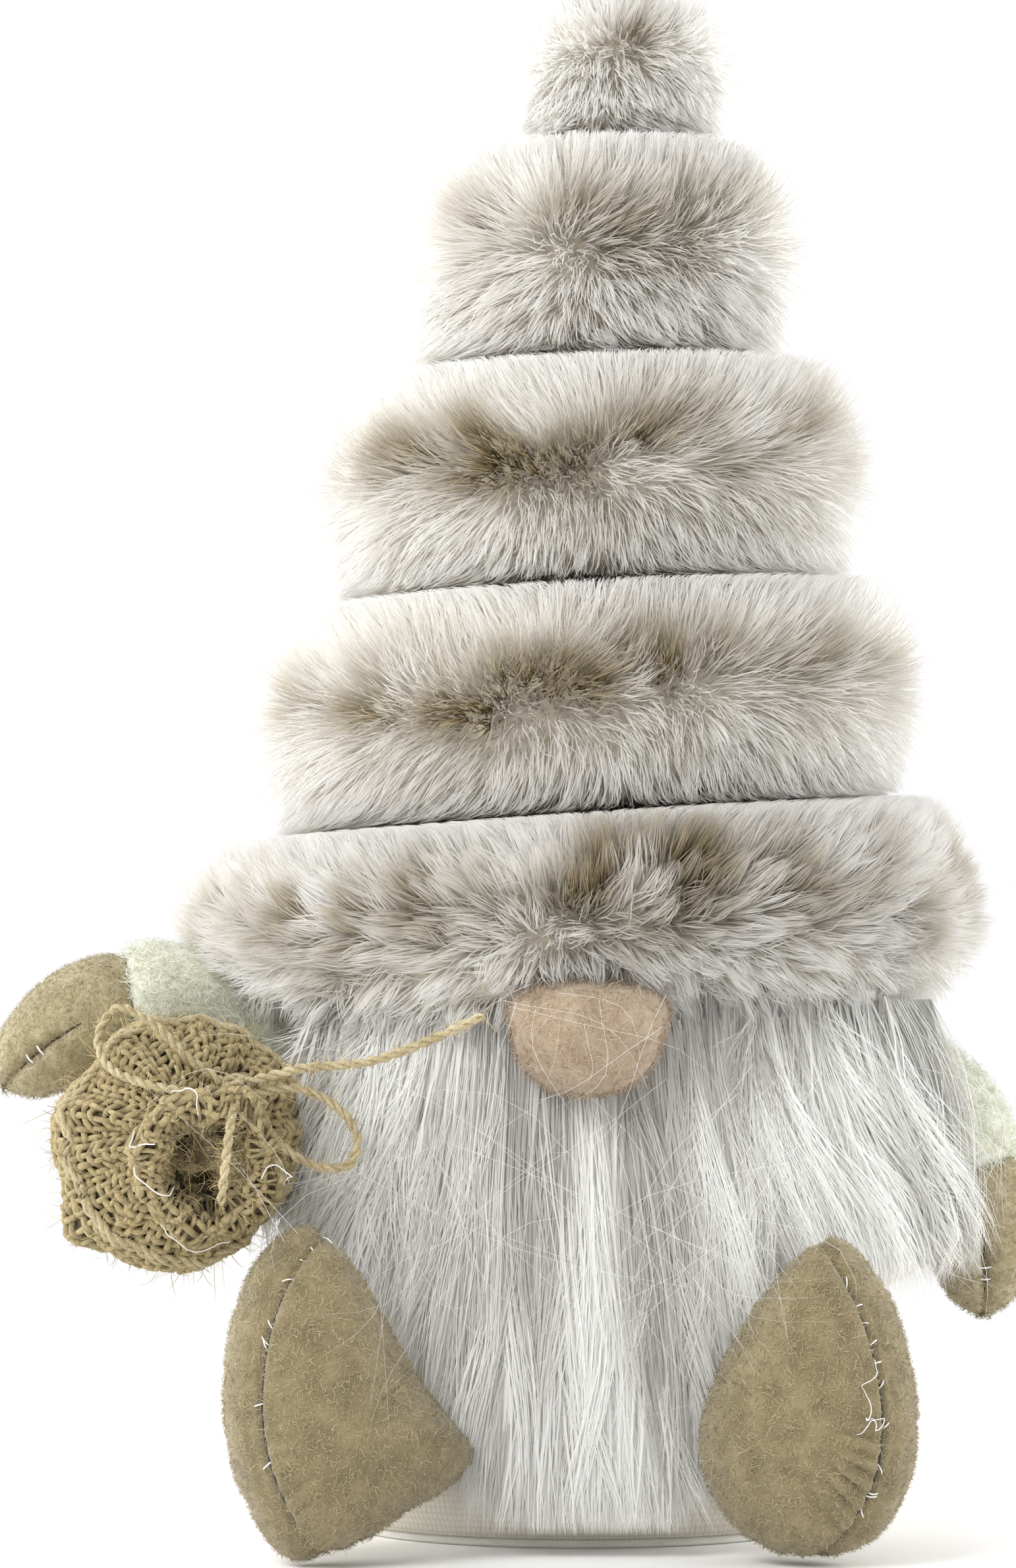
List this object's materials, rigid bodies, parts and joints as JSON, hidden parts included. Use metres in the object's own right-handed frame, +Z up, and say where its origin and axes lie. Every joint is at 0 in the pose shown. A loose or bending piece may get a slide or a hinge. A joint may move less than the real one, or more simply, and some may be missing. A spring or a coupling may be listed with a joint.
{
  "type": "fabric gnome",
  "caption": "Sitting stuffed gnome with a stepped fur hat, long white beard, felt nose, mittens and boots, and a small tied burlap sack on one arm.",
  "frame": {"origin": "middle of the flat base on the surface it stands on", "axes": "+Z up, -Y out of the front where the beard and boots are, +X to the right as seen from the front"},
  "size_m": [0.2277, 0.1634, 0.3395],
  "materials": {
    "fibre_filling": "soft white polyester fibre",
    "hat_fur": "dense soft pile, white with taupe patches",
    "beard_hair": "long straight white fibre, slight sheen",
    "backing_cloth": "plain woven cloth",
    "body_cloth": "plain grey woven cloth",
    "nose_felt": "needle-felted wool, matt",
    "sleeve_felt": "pale fuzzy wool felt, matt",
    "khaki_felt": "wool felt, matt, short fuzz",
    "card": "plain grey-brown card",
    "pellet_bag": "cotton bag filled with plastic pellets",
    "burlap": "coarse plain-woven jute, matt",
    "jute_twine": "twisted jute, matt and hairy",
    "seam_thread": "drawn sewing thread",
    "white_thread": "white sewing thread"
  },
  "bodies": {
    "root": {"base_felt": "khaki_felt", "base_card": "card", "pellet_bag": "pellet_bag", "body_stuffing": "fibre_filling", "body_cover": "body_cloth", "beard_backing": "backing_cloth", "beard_hair": "beard_hair", "nose_felt": "nose_felt", "nose_filling": "fibre_filling", "brim_padding": "fibre_filling", "hat_brim_fur": "hat_fur", "seam_thread_1": "seam_thread"},
    "hat_tier_2": {"hat_tier_2_fur": "hat_fur", "hat_tier_2_stuffing": "fibre_filling", "seam_thread_2": "seam_thread"},
    "hat_tier_3": {"hat_tier_3_fur": "hat_fur", "hat_tier_3_stuffing": "fibre_filling", "seam_thread_3": "seam_thread"},
    "hat_tier_4": {"hat_tier_4_fur": "hat_fur", "hat_tier_4_stuffing": "fibre_filling", "seam_thread_4": "seam_thread"},
    "hat_tip": {"hat_tip_fur": "hat_fur", "hat_tip_stuffing": "fibre_filling"},
    "arm_left": {"sleeve_left": "sleeve_felt", "sleeve_left_stuffing": "fibre_filling", "mitten_left_top_panel": "khaki_felt", "mitten_left_palm_panel": "khaki_felt", "mitten_left_stuffing": "fibre_filling"},
    "sack": {"sack_cloth": "burlap", "sack_stuffing": "fibre_filling", "neck_tie": "jute_twine", "bow_knot": "jute_twine", "bow_loop_left": "jute_twine", "bow_loop_right": "jute_twine", "bow_tail_long": "jute_twine", "bow_tail_short": "jute_twine", "sack_stitch": "white_thread"},
    "arm_right": {"sleeve_right": "sleeve_felt", "sleeve_right_stuffing": "fibre_filling", "mitten_right_top_panel": "khaki_felt", "mitten_right_palm_panel": "khaki_felt", "mitten_right_stuffing": "fibre_filling"},
    "leg_left": {"leg_left_cover": "khaki_felt", "leg_left_stuffing": "fibre_filling", "boot_left_inner_panel": "khaki_felt", "boot_left_outer_panel": "khaki_felt", "boot_left_stuffing": "fibre_filling"},
    "leg_right": {"leg_right_cover": "khaki_felt", "leg_right_stuffing": "fibre_filling", "boot_right_inner_panel": "khaki_felt", "boot_right_outer_panel": "khaki_felt", "boot_right_stuffing": "fibre_filling"}
  },
  "joints": [
    {"name": "hat_seam_1_bend", "type": "hinge", "parent": "root", "child": "hat_tier_2", "pos_m": [0.0012, 0, 0.1575], "axis": [0, 1, 0], "range_deg": [-5, 5], "stiffness_Nm_per_rad": 1.2},
    {"name": "hat_seam_2_bend", "type": "hinge", "parent": "hat_tier_2", "child": "hat_tier_3", "pos_m": [0.0025, 0, 0.2075], "axis": [0, 1, 0], "range_deg": [-5, 5], "stiffness_Nm_per_rad": 0.7},
    {"name": "hat_seam_3_bend", "type": "hinge", "parent": "hat_tier_3", "child": "hat_tier_4", "pos_m": [0.0035, 0, 0.2575], "axis": [0, 1, 0], "range_deg": [-5, 5], "stiffness_Nm_per_rad": 0.3},
    {"name": "hat_seam_4_bend", "type": "hinge", "parent": "hat_tier_4", "child": "hat_tip", "pos_m": [0.008, 0, 0.3075], "axis": [0, 1, 0], "range_deg": [-5, 5], "stiffness_Nm_per_rad": 0.05},
    {"name": "shoulder_left_swing", "type": "hinge", "parent": "root", "child": "arm_left", "pos_m": [-0.06247, -0.012, 0.107], "axis": [0, 0, -1], "range_deg": [0, 25], "stiffness_Nm_per_rad": 0.02},
    {"name": "sack_swing", "type": "hinge", "parent": "arm_left", "child": "sack", "pos_m": [-0.08546, -0.02456, 0.10567], "axis": [-1, 0, 0], "range_deg": [0, 12]},
    {"name": "shoulder_right_lift", "type": "hinge", "parent": "root", "child": "arm_right", "pos_m": [0.06247, -0.012, 0.107], "axis": [0, -1, 0], "range_deg": [0, 40]},
    {"name": "hip_left_splay", "type": "hinge", "parent": "root", "child": "leg_left", "pos_m": [-0.0375, -0.04781, 0.02], "axis": [0, 0, -1], "range_deg": [0, 20], "stiffness_Nm_per_rad": 0.03},
    {"name": "hip_right_splay", "type": "hinge", "parent": "root", "child": "leg_right", "pos_m": [0.0375, -0.04781, 0.02], "axis": [0, 0, 1], "range_deg": [0, 20], "stiffness_Nm_per_rad": 0.03}
  ]
}
